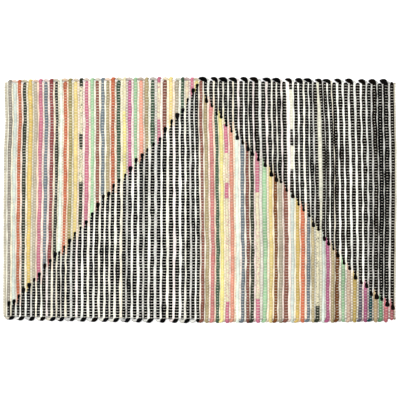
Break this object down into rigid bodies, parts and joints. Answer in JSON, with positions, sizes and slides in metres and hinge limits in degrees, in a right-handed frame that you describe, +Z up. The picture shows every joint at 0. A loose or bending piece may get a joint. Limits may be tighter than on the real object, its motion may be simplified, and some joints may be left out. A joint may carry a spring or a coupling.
{
  "type": "cotton rag rug",
  "caption": "Flat hand-woven rug of mixed cotton rags beaten close across a thin cotton warp, with rag loops along both long selvedges and short ends turned under, lying flat.",
  "frame": {"origin": "on the floor, under the middle of the rug's outline", "axes": "+X runs along the length, +Y across the rug along the picks towards the far selvedge, and +Z is up, out of the face"},
  "size_m": [0.8, 0.5, 0.0062],
  "materials": {
    "cotton_rags": "washed woven cotton rags in many colours, matt"
  },
  "bodies": {
    "root": {"rug": "cotton_rags"}
  },
  "joints": []
}
